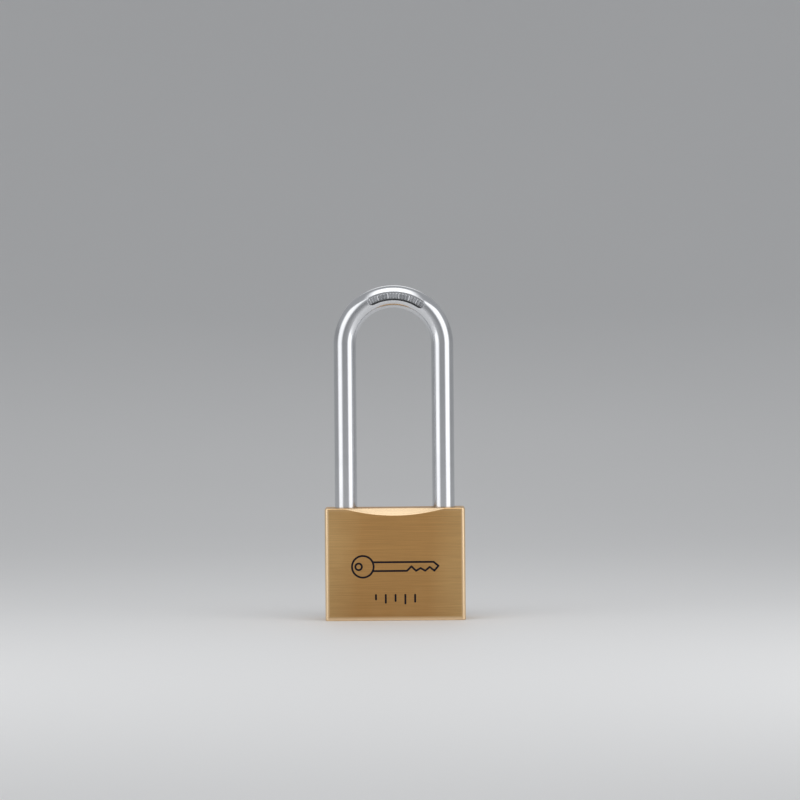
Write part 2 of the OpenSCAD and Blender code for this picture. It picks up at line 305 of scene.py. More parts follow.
def add(tree, kind, inputs=None, **settings):
    """A new node, with its settings and with each input given a value or a link."""
    node = tree.nodes.new(kind)
    for name, value in settings.items():
        setattr(node, name, value)
    feed(tree, node, inputs or {})
    return node


def feed(tree, node, inputs):
    for name, value in inputs.items():
        if isinstance(value, bpy.types.NodeSocket):
            tree.links.new(value, node.inputs[name])
        else:
            node.inputs[name].default_value = value


def math_node(tree, operation, first, second=0.0, clamp=False):
    return add(tree, "ShaderNodeMath", {0: first, 1: second},
               operation=operation, use_clamp=clamp).outputs[0]


def spread(tree, value, low, high, to_low=0.0, to_high=1.0):
    """Maps low..high to to_low..to_high, and holds the ends."""
    return add(tree, "ShaderNodeMapRange", {
        "Value": value, "From Min": low, "From Max": high,
        "To Min": to_low, "To Max": to_high}).outputs[0]


def mixed(tree, share, first, second, blend="MIX"):
    return add(tree, "ShaderNodeMix", {0: share, 6: first, 7: second},
               data_type="RGBA", blend_type=blend).outputs[2]


def new_group(name, inputs, outputs):
    """A shader node group with the named inputs (kind, default) and outputs."""
    group = bpy.data.node_groups.new(name, "ShaderNodeTree")
    for label, (kind, default) in inputs.items():
        socket = group.interface.new_socket(label, in_out="INPUT", socket_type=kind)
        if default is not None:
            socket.default_value = default
    for label in outputs:
        group.interface.new_socket(label, in_out="OUTPUT", socket_type="NodeSocketFloat")
    start = group.nodes.new("NodeGroupInput")
    end = group.nodes.new("NodeGroupOutput")
    return group, start.outputs, end.inputs


def brushing_group():
    """Fine lines along one direction, and broad uneven streaks that follow them."""
    group, given, out = new_group(
        "Brushing",
        {"Vector": ("NodeSocketVector", None), "Fine": ("NodeSocketVector", (48, 9000, 9000)),
         "Broad": ("NodeSocketVector", (70, 6200, 6200))},
        ("Lines", "Streaks", "Scratches"))
    fine, broad = (
        add(group, "ShaderNodeVectorMath", {0: given["Vector"], 1: given[scale]},
            operation="MULTIPLY").outputs[0]
        for scale in ("Fine", "Broad"))
    lines = add(group, "ShaderNodeTexNoise",
                {"Vector": fine, "Scale": 1.0, "Detail": 5.0, "Roughness": 0.65})
    streaks = add(group, "ShaderNodeTexNoise",
                  {"Vector": broad, "Scale": 1.0, "Detail": 4.0, "Roughness": 0.55})
    sparse = add(group, "ShaderNodeTexNoise",
                 {"Vector": fine, "Scale": 0.31, "Detail": 1.0, "Roughness": 0.5})
    group.links.new(lines.outputs[0], out["Lines"])
    group.links.new(streaks.outputs[0], out["Streaks"])
    group.links.new(spread(group, sparse.outputs[0], 0.68, 0.74), out["Scratches"])
    return group


def near_edge_group():
    """1 along a box's upright edges and weaker round its base and top, falling to 0 at Reach."""
    group, given, out = new_group(
        "Near a box edge",
        {"Vector": ("NodeSocketVector", None), "Centre": ("NodeSocketVector", (0, 0, 0)),
         "Half size": ("NodeSocketVector", (1, 1, 1)), "Reach": ("NodeSocketFloat", 0.001)},
        ("Edge",))
    local = add(group, "ShaderNodeVectorMath", {0: given["Vector"], 1: given["Centre"]},
                operation="SUBTRACT").outputs[0]
    size = add(group, "ShaderNodeVectorMath", {0: local}, operation="ABSOLUTE").outputs[0]
    inward = add(group, "ShaderNodeVectorMath", {0: given["Half size"], 1: size},
                 operation="SUBTRACT").outputs[0]
    gaps = add(group, "ShaderNodeSeparateXYZ", {0: inward}).outputs
    near = [spread(group, gap, 0.0, given["Reach"], 1.0, 0.0) for gap in gaps]
    height = add(group, "ShaderNodeSeparateXYZ", {0: local}).outputs[2]
    # The base rim weighs more than the top rim, so the painted edge highlight is stronger round the
    # base.
    rim = spread(group, height, -0.01, 0.01, 0.75, 0.2)
    pairs = [math_node(group, "MULTIPLY", near[a], near[b]) for a, b in ((0, 1), (1, 2), (0, 2))]
    pairs[1:] = [math_node(group, "MULTIPLY", pair, rim) for pair in pairs[1:]]
    most = math_node(group, "MAXIMUM", math_node(group, "MAXIMUM", pairs[0], pairs[1]), pairs[2])
    group.links.new(spread(group, most, 0.04, 0.5), out["Edge"])
    return group


def handling_group():
    """Soft blotches of handling and a few specks, for colour and roughness."""
    group, given, out = new_group(
        "Handling", {"Vector": ("NodeSocketVector", None), "Size": ("NodeSocketFloat", 120.0)},
        ("Blotches", "Specks"))
    blotches = add(group, "ShaderNodeTexNoise", {
        "Vector": given["Vector"], "Scale": given["Size"], "Detail": 3.0, "Roughness": 0.6})
    specks = add(group, "ShaderNodeTexVoronoi", {
        "Vector": given["Vector"], "Scale": math_node(group, "MULTIPLY", given["Size"], 9.0)})
    group.links.new(blotches.outputs[0], out["Blotches"])
    group.links.new(spread(group, specks.outputs["Distance"], 0.05, 0.11, 1.0, 0.0), out["Specks"])
    return group


def turning_group():
    """Rings round an axis, as a lathe tool leaves them."""
    group, given, out = new_group(
        "Turning marks",
        {"Vector": ("NodeSocketVector", None), "Centre": ("NodeSocketVector", (0, 0, 0)),
         "Pitch": ("NodeSocketFloat", 0.0001)},
        ("Rings",))
    local = add(group, "ShaderNodeVectorMath", {0: given["Vector"], 1: given["Centre"]},
                operation="SUBTRACT").outputs[0]
    far = add(group, "ShaderNodeVectorMath", {0: local}, operation="LENGTH").outputs["Value"]
    turns = math_node(group, "DIVIDE", far, given["Pitch"])
    rings = add(group, "ShaderNodeTexNoise", {"W": turns, "Scale": 1.0, "Detail": 2.0},
                noise_dimensions="1D")
    group.links.new(rings.outputs[0], out["Rings"])
    return group


def new_material(name, metallic=1.0):
    """An empty material: its tree, its Principled shader and its Object coordinates."""
    material = bpy.data.materials.new(name)
    material.use_nodes = True
    tree = material.node_tree
    shader = tree.nodes["Principled BSDF"]
    shader.inputs["Metallic"].default_value = metallic
    place = add(tree, "ShaderNodeTexCoord").outputs["Object"]
    return material, tree, shader, place


def use_group(tree, name, inputs):
    """Adds one of the shared groups and gives back its outputs."""
    return add(tree, "ShaderNodeGroup", inputs, node_tree=GROUPS[name]).outputs


def finished(tree, shader, tone, rough, height, depth):
    """Gives the shader its colour, its roughness and a bump that is depth high."""
    bump = add(tree, "ShaderNodeBump", {"Height": height, "Distance": depth, "Strength": 1.0})
    feed(tree, shader, {"Base Color": tone, "Roughness": rough, "Normal": bump.outputs[0]})


def shaded(colour, shade):
    return tuple(min(1.0, channel * shade) for channel in colour)


def rgba(colour, shade=1.0):
    return tuple(channel * shade for channel in colour) + (1.0,)


def stained(colour, shades):
    """A colour dulled by its own share in each channel."""
    return tuple(channel * shade for channel, shade in zip(colour, shades)) + (1,)


def brushed_brass(name, face_colour, painted_side_light_colour, wear_and_highlight_colour):
    """Brass brushed along its length in front and up and down on its sides; painted light makes it
    paler towards the sides and darker towards the bottom, and its edges take a paler colour that is
    partly wear and partly painted highlight.
    """
    material, tree, shader, place = new_material(name)
    face = use_group(tree, "brushing", {
        "Vector": place, "Fine": (48, 9000, 9000), "Broad": (70, 6200, 6200)})
    side = use_group(tree, "brushing", {
        "Vector": place, "Fine": (9000, 9000, 55), "Broad": (6200, 6200, 75)})
    axes = add(tree, "ShaderNodeSeparateXYZ", {0: place}).outputs
    out = math_node(tree, "ABSOLUTE", axes[0])
    on_side = spread(tree, out, HALF_W - 0.35 * MM, HALF_W - 0.15 * MM)
    marks = {}
    for mark in ("Lines", "Streaks", "Scratches"):
        marks[mark] = add(tree, "ShaderNodeMix", {0: on_side, 2: face[mark], 3: side[mark]}).outputs[0]
    handled = use_group(tree, "handling", {"Vector": place, "Size": 60.0})
    edge = use_group(tree, "near_edge", {
        "Vector": place, "Centre": (0, 0, BODY_H / 2), "Half size": (HALF_W, HALF_T, BODY_H / 2),
        "Reach": 1.35 * MM})[0]
    # Painted light: the front grows paler towards both sides, as if the side lamps lit it there;
    # handling blotches vary this at random.
    painted_side_light_and_blotches = math_node(tree, "ADD", spread(tree, out, 9 * MM, 18.5 * MM, 0.0, 0.75),
                     spread(tree, handled["Blotches"], 0.38, 0.68, -0.12, 0.16), clamp=True)
    tone = mixed(tree, painted_side_light_and_blotches, rgba(face_colour), rgba(painted_side_light_colour))
    # Painted shade: the front grows darker towards the bottom, away from the lamp above.
    low = spread(tree, axes[2], 1 * MM, 22 * MM, 0.86, 1.03)
    streak = spread(tree, marks["Streaks"], 0.32, 0.68, 0.91, 1.08)
    shade = math_node(tree, "MULTIPLY", low, streak)
    tone = mixed(tree, 1.0, tone, add(tree, "ShaderNodeCombineXYZ", {
        0: shade, 1: shade, 2: shade}).outputs[0], blend="MULTIPLY")
    tone = mixed(tree, spread(tree, marks["Lines"], 0.38, 0.72, 0.0, 0.42), tone,
                 rgba(face_colour, 0.55))
    # Painted highlight and wear: the rounded edges take a brightened pale colour, partly wear and
    # partly the highlight that they catch.
    tone = mixed(tree, math_node(tree, "MULTIPLY", edge, 0.9), tone, rgba(shaded(wear_and_highlight_colour, 1.3)))
    rough = spread(tree, marks["Lines"], 0.3, 0.7, 0.28, 0.42)
    rough = math_node(tree, "ADD", rough, spread(tree, handled["Blotches"], 0.4, 0.7, 0.0, 0.07))
    rough = math_node(tree, "SUBTRACT", rough, math_node(tree, "MULTIPLY", edge, 0.06))
    height = math_node(tree, "SUBTRACT", marks["Lines"],
                       math_node(tree, "MULTIPLY", marks["Scratches"], 0.8))
    finished(tree, shader, tone, rough, height, 0.008 * MM)
    return material


def milled_brass(colour):
    """The scooped cuts: a paler colour painted as the highlight that they catch from the lamp above,
    with fine cutter lines along them.
    """
    material, tree, shader, place = new_material("milled_brass")
    marks = use_group(tree, "brushing", {
        "Vector": place, "Fine": (30, 4200, 4200), "Broad": (18, 1500, 1500)})
    tone = mixed(tree, spread(tree, marks["Streaks"], 0.3, 0.7), rgba(colour, 0.93), rgba(colour, 1.06))
    rough = spread(tree, marks["Lines"], 0.3, 0.7, 0.24, 0.34)
    finished(tree, shader, tone, rough, marks["Lines"], 0.006 * MM)
    return material


def engraving_paint(colour):
    material, tree, shader, place = new_material("engraving_paint", metallic=0.0)
    shader.inputs["Specular IOR Level"].default_value = 0.2
    handled = use_group(tree, "handling", {"Vector": place, "Size": 900.0})
    tone = mixed(tree, handled["Blotches"], rgba(colour, 0.6), rgba(colour, 1.7))
    rough = spread(tree, handled["Blotches"], 0.3, 0.7, 0.42, 0.6)
    finished(tree, shader, tone, rough, handled["Blotches"], 0.02 * MM)
    return material


def turned_brass(name, colour, centre, rough_low=0.22):
    """Brass with rings about a centre: drilled holes, plug, pins and fillers."""
    material, tree, shader, place = new_material(name)
    rings = use_group(tree, "turning", {
        "Vector": place, "Centre": centre, "Pitch": 0.06 * MM})[0]
    handled = use_group(tree, "handling", {"Vector": place, "Size": 260.0})
    tone = mixed(tree, spread(tree, rings, 0.35, 0.65), rgba(colour, 0.84), rgba(colour, 1.04))
    tone = mixed(tree, spread(tree, handled["Blotches"], 0.5, 0.75, 0.0, 0.5), tone,
                 stained(colour, (0.7, 0.58, 0.5)))
    rough = spread(tree, rings, 0.3, 0.7, rough_low, rough_low + 0.16)
    finished(tree, shader, tone, rough, rings, 0.006 * MM)
    return material


def polished_chrome(colour):
    """Bright plating with hairline scratches; the stamped recess is darkened as painted shade and made
    rougher.
    """
    material, tree, shader, place = new_material("polished_chrome")
    fine = use_group(tree, "brushing", {
        "Vector": place, "Fine": (5200, 5200, 90), "Broad": (260, 260, 40)})
    handled = use_group(tree, "handling", {"Vector": place, "Size": 150.0})
    panel_painted_shade = add(tree, "ShaderNodeAttribute", attribute_name="panel_painted_shade").outputs["Fac"]
    tone = mixed(tree, spread(tree, handled["Blotches"], 0.35, 0.75),
                 rgba(colour, 1.0), rgba(colour, 0.92))
    tone = mixed(tree, math_node(tree, "MULTIPLY", fine["Scratches"], 0.25), tone, rgba(colour, 0.7))
    # Painted shade: the stamped panel's floor is darkened almost to black, most towards the arch's
    # inner edge.
    tone = mixed(tree, panel_painted_shade, tone, rgba(colour, 0.06))
    rough = spread(tree, handled["Blotches"], 0.3, 0.75, 0.12, 0.165)
    rough = math_node(tree, "ADD", rough, math_node(tree, "MULTIPLY", fine["Scratches"], 0.10))
    rough = math_node(tree, "ADD", rough, math_node(tree, "MULTIPLY", panel_painted_shade, 0.15))
    height = math_node(tree, "ADD", math_node(tree, "MULTIPLY", fine["Lines"], 0.5),
                       math_node(tree, "MULTIPLY", handled["Specks"], -0.5))
    finished(tree, shader, tone, rough, height, 0.0018 * MM)
    return material


def machined_steel(name, colour, across, rough_low):
    """Bare steel with straight tool marks, scaled by across on each axis."""
    material, tree, shader, place = new_material(name)
    marks = use_group(tree, "brushing", {
        "Vector": place, "Fine": across, "Broad": tuple(value * 0.15 for value in across)})
    handled = use_group(tree, "handling", {"Vector": place, "Size": 300.0})
    tone = mixed(tree, spread(tree, marks["Streaks"], 0.3, 0.7), rgba(colour, 0.8), rgba(colour, 1.1))
    tone = mixed(tree, spread(tree, handled["Blotches"], 0.55, 0.8, 0.0, 0.5), tone,
                 stained(colour, (0.62, 0.56, 0.5)))
    rough = spread(tree, marks["Lines"], 0.3, 0.7, rough_low, rough_low + 0.15)
    finished(tree, shader, tone, rough, marks["Lines"], 0.006 * MM)
    return material


def floor_paper(colour):
    material, tree, shader, place = new_material("cove_paint", metallic=0.0)
    grain = add(tree, "ShaderNodeTexNoise", {"Vector": place, "Scale": 3.0, "Detail": 2.0})
    tone = mixed(tree, spread(tree, grain.outputs[0], 0.3, 0.7), rgba(colour, 0.985), rgba(colour))
    tree.links.new(tone, shader.inputs["Base Color"])
    shader.inputs["Roughness"].default_value = 0.6
    shader.inputs["Specular IOR Level"].default_value = 0.25
    return material


GROUPS = {}
FINISHES = {}


class PADLOCK_OT_finishes(bpy.types.Operator):
    """Mixes the metals and the paint that the pieces are finished with"""

    bl_idname = "padlock.finishes"
    bl_label = "Finishes"

    def execute(self, context):
        GROUPS.update(brushing=brushing_group(), near_edge=near_edge_group(),
                      handling=handling_group(), turning=turning_group())
        scene = context.scene
        body, inside = scene.padlock_body, scene.padlock_inside
        brass, steel = tuple(inside.turned_brass), tuple(inside.steel)
        FINISHES.update(
            brass=brushed_brass("brushed_brass", tuple(body.brass), tuple(body.painted_side_light_brass),
                                tuple(body.milled_brass)),
            milled=milled_brass(tuple(body.milled_brass)),
            paint=engraving_paint(tuple(body.paint)),
            # Painted shade: the walls of the holes take the turned brass darkened to 0.8, as shade
            # inside the holes.
            drilled=turned_brass("drilled_brass_painted_shade", shaded(brass, 0.8), (0, 0, 0), 0.34),
            plug=turned_brass("plug_brass", brass, (0, 0, 0)),
            chrome=polished_chrome(tuple(scene.padlock_shackle.chrome)),
            latch=machined_steel("latch_steel", steel, (200, 5000, 5000), 0.28),
            cam=machined_steel("cam_steel", steel, (5000, 200, 5000), 0.30),
            wire=machined_steel("spring_wire", shaded(steel, 0.9), (3000, 3000, 3000), 0.22),
            nickel=machined_steel("nickel_plate", shaded(steel, 1.15), (600, 5000, 5000), 0.16))
        return {"FINISHED"}


def finish(piece, *names):
    piece.data.materials.clear()
    for name in names:
        piece.data.materials.append(FINISHES[name])


# ------------------------------------------------------------------ body


# The drawn key: height of its middle, its length, its bow, the hole in the bow, and the
# corners of its blade in millimetres from the body's middle plane and the key's middle.
EMBLEM_Z = 15.4 * MM
EMBLEM_W = 25.2 * MM
BOW_R = 3.35 * MM
BOW_HOLE_R = 1.2 * MM
BOW_HOLE_IN = 2.15 * MM
BLADE = [
    (-6.2, 1.25), (10.9, 1.25), (12.3, 0.1), (11.1, -1.25), (9.8, -0.2), (8.5, -1.25),
    (7.2, -0.5), (5.9, -1.25), (4.6, 0), (3.3, -1.25), (-6.2, -1.25)]
# The row of five bars, one for each key pin's travel in millimetres.
BAR_ROW_Z = 6.1 * MM
BAR_ROW_W = 11.7 * MM
BAR_ROW_H = 3 * MM
SHORTEST_BAR = 0.6
PIN_TRAVEL = [2.4, 1.2, 1.8, 0.9, 1.5]

OVER = MM  # how far a cutter runs past the face that it cuts
PIN_FIT = 0.05 * MM  # gap all round a pin or the plug
LEG_FIT = 0.1 * MM
LEG_FLOORS = ((LEG_X, 19.5 * MM), (-LEG_X, 2.5 * MM))  # each leg hole's place and floor
# How far each kind of hole is opened at its mouth.
LEG_MOUTH = 0.35 * MM
PLUG_MOUTH = 0.2 * MM
SIDE_MOUTH = 0.1 * MM
THROAT_R = 2.6 * MM
SCOOP_BREAK = 0.12 * MM  # rounding where a scoop meets the faces


def stroke_outline(start, end, width, steps=8):
    """Outline of a line with round ends."""
    (x0, z0), (x1, z1) = start, end
    turn = math.atan2(z1 - z0, x1 - x0)
    points = []
    for (x, z), first in ((end, turn - math.pi / 2), (start, turn + math.pi / 2)):
        for step in range(steps + 1):
            angle = first + math.pi * step / steps
            points.append((x + width / 2 * math.cos(angle), z + width / 2 * math.sin(angle)))
    return points


def engraving_strokes(line):
    """Pairs of ends of the drawn blade and of the row of five bars."""
    blade = [(x * MM, EMBLEM_Z + z * MM) for x, z in BLADE]
    pairs = list(zip(blade, blade[1:]))
    least, most = min(PIN_TRAVEL), max(PIN_TRAVEL)
    for index, travel in enumerate(PIN_TRAVEL):
        x = (index - 2) * (BAR_ROW_W - line) / 4
        top = BAR_ROW_Z + (BAR_ROW_H - line) / 2
        share = 1 - (1 - SHORTEST_BAR) * (travel - least) / (most - least)
        pairs.append(((x, top), (x, top - share * BAR_ROW_H + line)))
    return pairs


def ring_cutter(x, z, radius, line, depth):
    """A short tube standing in the front face, which cuts a ring."""
    front = -HALF_T - OVER
    outer = rod("ring", "Y", (x, front, z), depth + OVER, radius, 96)
    hole = rod("ring_hole", "Y", (x, front - OVER, z), depth + 3 * OVER, radius - line, 96)
    cut(outer, hole)
    return outer


def engraving_cutters(sizes):
    front, depth, line = -HALF_T - OVER, sizes.engraving_depth, sizes.engraving_line
    cutters = [
        plate(f"stroke_{index}", stroke_outline(a, b, line), (0, depth + OVER, 0),
              lambda x, z: (x, front, z))
        for index, (a, b) in enumerate(engraving_strokes(line))]
    bow_x = BOW_R - EMBLEM_W / 2
    cutters.append(ring_cutter(bow_x, EMBLEM_Z, BOW_R, line, depth))
    cutters.append(ring_cutter(bow_x - BOW_R + BOW_HOLE_IN, EMBLEM_Z, BOW_HOLE_R, line, depth))
    return cutters


def scoop_cutter(sizes, side):
    """The large slanted cylinder that scoops a top edge; side is -1 in front and 1 behind."""
    deep = sizes.scoop_depth / math.sqrt(2)
    radius = ((sizes.scoop_width / 2) ** 2 + deep**2) / (2 * deep)
    away = (radius - deep) / math.sqrt(2)
    bpy.ops.object.select_all(action="DESELECT")
    bpy.ops.mesh.primitive_cylinder_add(
        vertices=720, radius=radius, depth=12 * MM, rotation=(side * math.radians(45), 0, 0),
        location=(0, side * (HALF_T + away), BODY_H + away))
    return place_applied("scoop")


class PADLOCK_OT_body(bpy.types.Operator):
    """Models the brushed brass block: rounded edges, scooped top edges, holes and engraving"""

    bl_idname = "padlock.body"
    bl_label = "Body"

    def execute(self, context):
        sizes = context.scene.padlock_body
        body = block("body", BODY_LOW, BODY_HIGH)
        finish(body, "brass")
        bevel_edges(body, lambda e: abs(along(e).z) > 0.9, sizes.edge_radius, 10)
        bevel_edges(body, lambda e: bend_of(e) > 1.0, sizes.rim_radius, 4)
        cut(body, scoop_cutter(sizes, -1), scoop_cutter(sizes, 1), inside=FINISHES["milled"])
        bevel_edges(body, lambda e: self.at_scoop(e, sizes), SCOOP_BREAK, 3)
        self.drill(body)
        cut(body, *engraving_cutters(sizes), inside=FINISHES["paint"])
        tidy_mesh(body)
        smooth(body, 24)
        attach(body, "lock_body")
        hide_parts("lock_body")
        return {"FINISHED"}

    def at_scoop(self, edge, sizes):
        place = middle(edge)
        return (bend_of(edge) > math.radians(20) and place.z > BODY_H - sizes.scoop_depth - MM
                and abs(place.x) < sizes.scoop_width / 2 - 0.2 * MM)

    def drill(self, body):
        """Leg holes, plug bore, latch channel, pin chambers and the two cross-pin holes."""
        hole_r = LEG_R + LEG_FIT
        for x, floor in LEG_FLOORS:
            cut(body, rod("leg_hole", "Z", (x, 0, floor), BODY_H + OVER - floor, hole_r, 96),
                countersink("Z", (x, 0, BODY_H), hole_r, LEG_MOUTH, 96), inside=FINISHES["drilled"])
        plug_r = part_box("plug")[1].x
        bore_r = plug_r + PIN_FIT
        bore_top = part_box("plug_cam")[1].z - 2.8 * MM
        cut(body, rod("bore", "Z", (0, 0, -OVER), bore_top + OVER, bore_r, 128),
            rod("bore_mouth", "Z", (0, 0, -PLUG_MOUTH), 2 * PLUG_MOUTH, bore_r + 2 * PLUG_MOUTH, 128,
                top_radius=bore_r), inside=FINISHES["drilled"])
        low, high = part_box("latch_channel_filler")
        self.side_hole(body, -LEG_X, (low.z + high.z) / 2, high.y, 96,
                       rod("throat", "Z", (0, 0, 20 * MM), 5 * MM, THROAT_R, 64))
        for index in range(1, 6):
            low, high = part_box(f"driver_pin_{index}")
            self.side_hole(body, plug_r - OVER, (low.z + high.z) / 2,
                           (high.z - low.z) / 2 + PIN_FIT, 48)
        for node in ("shackle_stop_pin", "plug_retaining_pin"):
            low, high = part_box(node)
            centre = (low + high) / 2
            radius = (high.z - low.z) / 2
            hole = rod("cross_hole", "Y", (centre.x, low.y, centre.z), high.y - low.y + OVER,
                       radius, 48)
            mouth = countersink("Y", (centre.x, HALF_T, centre.z), radius, SIDE_MOUTH, 48)
            cut(body, hole, mouth, inside=FINISHES["drilled"])

    def side_hole(self, body, start, z, radius, segments, *more):
        """A hole from start out through the side at +X, with its mouth; more is cut first."""
        hole = rod("side_hole", "X", (start, 0, z), HALF_W + OVER - start, radius, segments)
        mouth = countersink("X", (HALF_W, 0, z), radius, SIDE_MOUTH, 64)
        cut(body, *more, hole, mouth, inside=FINISHES["drilled"])


# ------------------------------------------------------------------ shackle


TOE_FOOT = 20.5 * MM
LEG_RING_UP = 4 * MM  # a ring of edges on each leg, this far above the body
LEG_END_R = 0.5 * MM
NOTCH_IN = 12.3 * MM  # from the middle of the body to the floor of a latch notch
NOTCH_Z = (23 * MM, 27 * MM)
NECK_R = 1.6 * MM
NECK_Z = (8.6 * MM, 15.2 * MM)
STOP_FLAT_OUT = 1.7 * MM
STOP_FLAT_Z = (15 * MM, 22.85 * MM)

PANEL_MARGIN = 0.5 * MM  # finer faces reach this far past the panel's sides
PANEL_END_MARGIN = math.radians(9)
PANEL_CUTS = 4
PANEL_WALL = 0.16 * MM
RIB_RISE = 0.25 * MM
RIB_ROW_MARGIN = math.radians(6)  # arc of the panel left free of ribs, both ends together
RIB_SIDES = (0.27 * MM, 0.13 * MM)  # a rib's foot and top, from its middle
RIB_ENDS = (0.85 * MM, 0.68 * MM)
PAINTED_SHADE_EDGES = (0.2 * MM, 1.1 * MM)  # painted shade deepens between these, inwards from the wire's middle
LEAST_PAINTED_SHADE = 0.12


class PADLOCK_OT_shackle(bpy.types.Operator):
    """Models the round steel bow, its pressed panel, its latch notches and the heel's neck"""

    bl_idname = "padlock.shackle"
    bl_label = "Shackle"

    def execute(self, context):
        sizes = context.scene.padlock_shackle
        shackle = self.bow()
        finish(shackle, "chrome")
        self.cut_legs(shackle)
        self.refine_panel(shackle, sizes)
        self.press_panel(shackle, sizes)
        tidy_mesh(shackle)
        smooth(shackle, 35)
        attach(shackle, "shackle")
        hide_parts("shackle")
        return {"FINISHED"}

    def bow(self):
        """A circle spun through half a turn, with both ends drawn down into legs."""
        bpy.ops.object.select_all(action="DESELECT")
        bpy.ops.mesh.primitive_circle_add(
            vertices=96, radius=LEG_R, fill_type="NOTHING", location=(LEG_X, 0, ARCH_Z))
        shackle = place_applied("shackle_bow")
        bpy.ops.object.mode_set(mode="EDIT")
        bpy.ops.mesh.select_all(action="SELECT")
        bpy.ops.mesh.spin(steps=120, angle=math.pi, center=(0, 0, ARCH_Z), axis=(0, 1, 0))
        bpy.ops.object.mode_set(mode="OBJECT")
        for side, foot in ((1, TOE_FOOT), (-1, SHACKLE_LOW.z)):
            select_edges(shackle, lambda e: e.is_boundary and middle(e).x * side > 0)
            for z in (BODY_H + LEG_RING_UP, foot):
                low = min(v.co.z for v in bmesh.from_edit_mesh(shackle.data).verts if v.select)
                bpy.ops.mesh.extrude_region_move(
                    TRANSFORM_OT_translate={"value": (0, 0, z - low)})
            bpy.ops.mesh.edge_face_add()
            bpy.ops.object.mode_set(mode="OBJECT")
        tidy_mesh(shackle)
        bevel_edges(shackle, lambda e: abs(along(e).z) < 0.1 and bend_of(e) > 1.0, LEG_END_R, 5)
        return shackle

    def refine_panel(self, shackle, sizes):
        """Divides the front of the arch finely enough to carry the pressed panel."""
        alone(shackle)
        bpy.ops.object.mode_set(mode="EDIT")
        bpy.ops.mesh.select_mode(type="FACE")
        bpy.ops.mesh.select_all(action="DESELECT")
        shape = bmesh.from_edit_mesh(shackle.data)
        half_arc = sizes.panel_arc / 2 + PANEL_END_MARGIN
        half_w = sizes.panel_width / 2 + PANEL_MARGIN
        for face in shape.faces:
            place = face.calc_center_median()
            angle, out = self.on_arch(place)
            angle -= sizes.panel_turn
            face.select = (place.z > ARCH_Z and place.y < 0 and abs(angle) < half_arc
                           and abs(out) < half_w)
        bmesh.update_edit_mesh(shackle.data)
        bpy.ops.mesh.subdivide(number_cuts=PANEL_CUTS)
        bpy.ops.object.mode_set(mode="OBJECT")

    def on_arch(self, place):
        """Angle from the top of the arch, and distance out from the wire's centre line."""
        x, z = place.x, place.z - ARCH_Z
        return math.atan2(x, z), math.hypot(x, z) - LEG_X

    def press_panel(self, shackle, sizes):
        """Settles the divided faces on the round wire, then sinks the panel between its ribs."""
        panel_painted_shade = shackle.data.attributes.new("panel_painted_shade", "FLOAT", "POINT")
        half_w = sizes.panel_width / 2
        floor = -math.sqrt(LEG_R**2 - half_w**2) + sizes.panel_depth
        for vertex in shackle.data.vertices:
            place = vertex.co
            if place.z <= ARCH_Z or place.y >= 0:
                continue
            angle, out = self.on_arch(place)
            size = math.hypot(out, place.y)
            out, y = out * LEG_R / size, place.y * LEG_R / size
            reach = LEG_X + out
            turned = angle - sizes.panel_turn
            past = max(0.0, abs(turned) * LEG_X - (sizes.panel_arc / 2 * LEG_X - half_w))
            inside = half_w - math.hypot(out, past)
            if inside > 0:
                share = self.step(inside, 0.0, PANEL_WALL)
                on_rib = self.rib(turned, out, sizes)
                y += (max(y, floor - RIB_RISE * on_rib) - y) * share
                # Painted shade on the panel's floor between the ribs, deepest towards the arch's inner
                # edge; it is kept in a point attribute for the chrome.
                inner_edge_painted_shade = LEAST_PAINTED_SHADE + (1 - LEAST_PAINTED_SHADE) * self.step(-out, *PAINTED_SHADE_EDGES)
                panel_painted_shade.data[vertex.index].value = share * (1 - on_rib) * inner_edge_painted_shade
            place.x, place.y = reach * math.sin(angle), y
            place.z = ARCH_Z + reach * math.cos(angle)

    def rib(self, angle, out, sizes):
        """1 on top of a rib and 0 on the floor between ribs."""
        rib_step = (sizes.panel_arc - RIB_ROW_MARGIN) / (sizes.ribs - 1)
        place = angle / rib_step + (sizes.ribs - 1) / 2
        if not -0.5 < place < sizes.ribs - 0.5:
            return 0.0
        away = abs(place - round(place)) * rib_step * LEG_X
        return self.step(away, *RIB_SIDES) * self.step(abs(out), *RIB_ENDS)

    def step(self, value, start, end):
        """Smooth step from 0 at start to 1 at end."""
        share = min(1.0, max(0.0, (value - start) / (end - start)))
        return share * share * (3 - 2 * share)

    def cut_legs(self, shackle):
        """Latch notches in both legs; neck and stop flat on the heel leg."""
        far = 2 * LEG_R
        for side in (1, -1):
            floor = side * NOTCH_IN
            low_x, high_x = sorted((floor, floor - side * far))
            cut(shackle, block("notch", (low_x, -far, NOTCH_Z[0]), (high_x, far, NOTCH_Z[1])),
                inside=FINISHES["chrome"])
        neck_low, neck_high = NECK_Z
        neck_h = neck_high - neck_low
        collar = rod("neck", "Z", (-LEG_X, 0, neck_low), neck_h, far, 96)
        cut(collar, rod("neck_core", "Z", (-LEG_X, 0, neck_low - OVER), neck_h + 2 * OVER, NECK_R, 96))
        flat_x = -LEG_X - STOP_FLAT_OUT
        flat = block("flat", (flat_x - far, -far, STOP_FLAT_Z[0]), (flat_x, far, STOP_FLAT_Z[1]))
        cut(shackle, collar, flat, inside=FINISHES["chrome"])


# ------------------------------------------------------------------ plug


